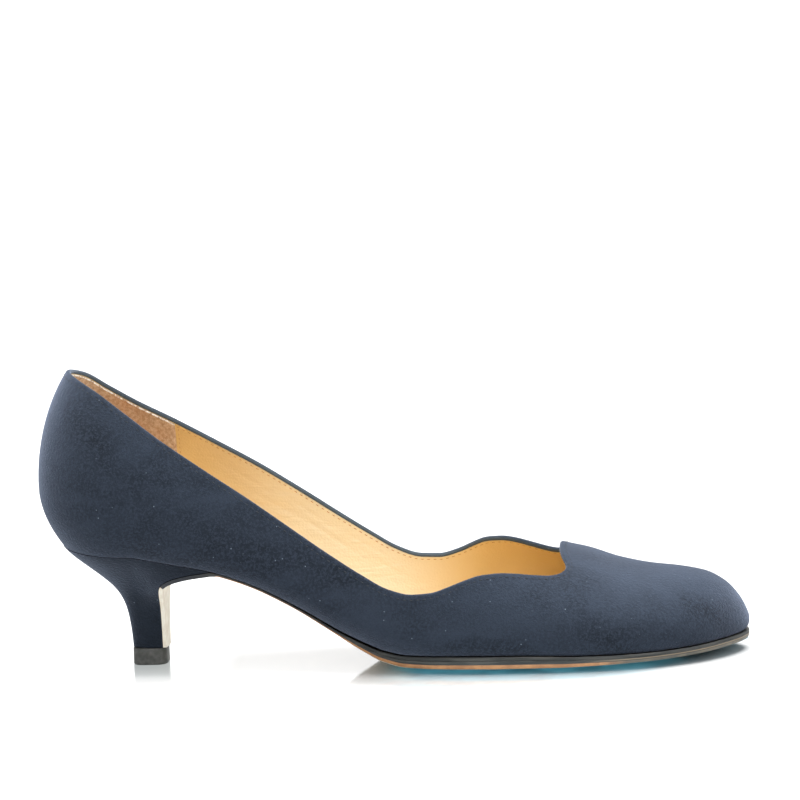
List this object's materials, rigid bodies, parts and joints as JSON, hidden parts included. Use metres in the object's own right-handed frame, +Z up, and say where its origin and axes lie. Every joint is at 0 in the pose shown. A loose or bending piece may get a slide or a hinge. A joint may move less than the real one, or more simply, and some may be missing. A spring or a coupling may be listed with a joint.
{
  "type": "kitten heel pump",
  "caption": "Low-cut suede court shoe with a scalloped throat, rounded almond toe, thin leather sole, tan lining and a short slim curved heel.",
  "frame": {"origin": "on the floor, under the middle of the shoe's bounding box", "axes": "+X towards the toe, +Y towards the wearer's left, which is the inner side of this right shoe, +Z up"},
  "size_m": [0.2502, 0.0777, 0.1058],
  "materials": {
    "upper_suede": "suede nap",
    "insole_leather": "smooth, slightly glossy",
    "outsole_leather": "edge inked dark, tread plain",
    "heel_suede": "suede nap",
    "top_piece_rubber": "satin"
  },
  "bodies": {
    "root": {"upper": "upper_suede", "insole": "insole_leather", "outsole": "outsole_leather", "heel": "heel_suede", "top_piece": "top_piece_rubber"}
  },
  "joints": []
}
